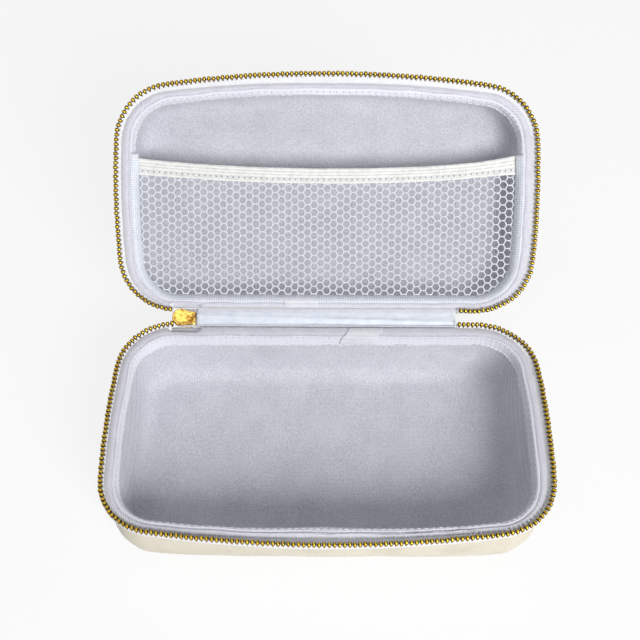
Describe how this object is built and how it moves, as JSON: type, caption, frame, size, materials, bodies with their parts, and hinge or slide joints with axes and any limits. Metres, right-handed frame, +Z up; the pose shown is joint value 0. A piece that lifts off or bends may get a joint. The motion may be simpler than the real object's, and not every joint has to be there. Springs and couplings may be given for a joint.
{
  "type": "zip-around hard travel jewellery case",
  "caption": "Zip-around moulded hard case standing open, with lined shells, bound rims, gold zipper, folding cloth hinge and a mesh pocket under an elastic band in the lid.",
  "frame": {"origin": "under the middle of the base, on the surface that the case stands on", "axes": "+X along the hinge to the right, -Y to the front where the zipper closes, +Z up out of the base"},
  "size_m": [0.2326, 0.2431, 0.1331],
  "materials": {
    "leatherette": "fine-grained matt leatherette",
    "foam": "matt closed-cell foam",
    "lining": "fine brushed knit",
    "binding": "twill tape",
    "zip_tape": "woven zipper tape",
    "satin": "satin weave",
    "mesh": "knitted honeycomb net",
    "elastic": "ribbed woven elastic",
    "gold": "polished gold-coloured metal"
  },
  "bodies": {
    "base": {"base_cover": "leatherette", "base_core": "foam", "base_lining": "lining", "base_binding": "binding", "base_binding_lap": "satin", "base_zip_tape": "zip_tape", "base_zip_teeth": "gold"},
    "hinge": {"hinge_cover": "leatherette", "hinge_lining": "satin", "slider_body": "gold", "slider_bridge": "gold"},
    "pull": {"pull_tab": "gold"},
    "lid": {"lid_cover": "leatherette", "lid_core": "foam", "lid_lining": "lining", "lid_binding": "binding", "lid_binding_lap": "satin", "lid_zip_tape": "zip_tape", "lid_zip_teeth": "gold", "pocket_mesh": "mesh", "pocket_elastic": "elastic"}
  },
  "joints": [
    {"name": "base_fold", "type": "hinge", "parent": "base", "child": "hinge", "pos_m": [0, 0.0635, 0.0403], "axis": [1, 0, 0], "range_deg": [-20.75, 69.25]},
    {"name": "lid_fold", "type": "hinge", "parent": "hinge", "child": "lid", "pos_m": [0, 0.07322, 0.04399], "axis": [1, 0, 0], "range_deg": [-20.75, 69.25]},
    {"name": "pull_swing", "type": "hinge", "parent": "hinge", "child": "pull", "pos_m": [-0.0801, 0.06967, 0.03868], "axis": [0, 0.9351, 0.3543], "range_deg": [-80, 80]}
  ],
  "couplings": [
    {"joint": "lid_fold", "follows": "base_fold", "ratio": 1}
  ]
}
